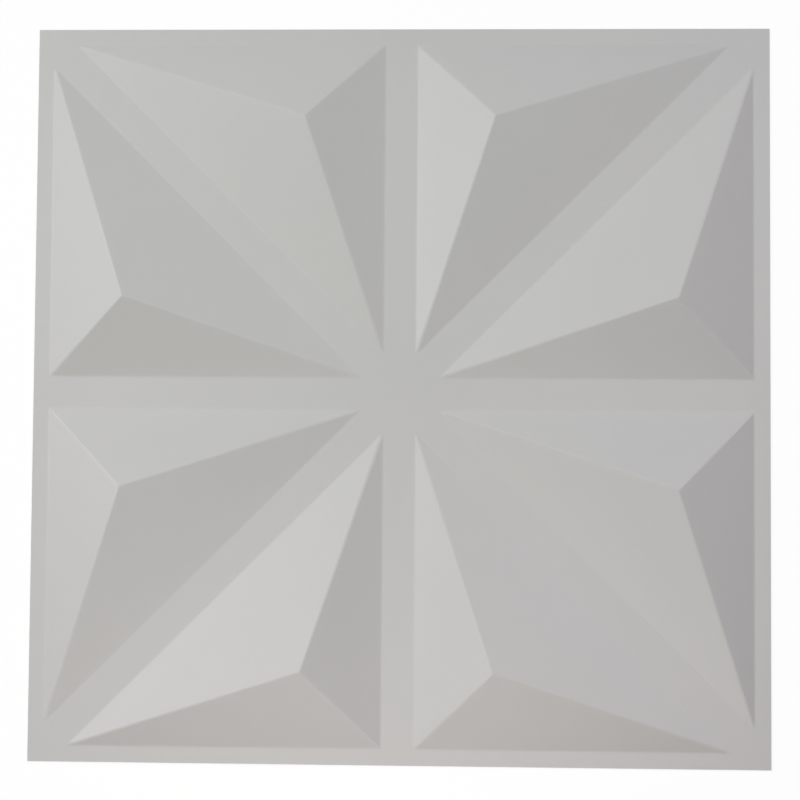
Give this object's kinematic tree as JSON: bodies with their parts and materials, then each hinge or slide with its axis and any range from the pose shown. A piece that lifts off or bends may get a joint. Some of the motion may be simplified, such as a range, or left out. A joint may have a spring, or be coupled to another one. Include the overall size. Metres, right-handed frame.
{
  "type": "3d wall panel tile",
  "caption": "Square thin formed plastic wall tile whose low three-sided pyramids make a star between flat strips of one width, with a half-width rim.",
  "frame": {"origin": "middle of the tile's back, in the plane that lies on the wall", "axes": "+Z out of the patterned front, X and Y along the tile's sides; stored lying on its back"},
  "size_m": [0.5, 0.5, 0.0248],
  "materials": {
    "matte_sheet": "matte"
  },
  "bodies": {
    "root": {"relief_tile": "matte_sheet"}
  },
  "joints": []
}
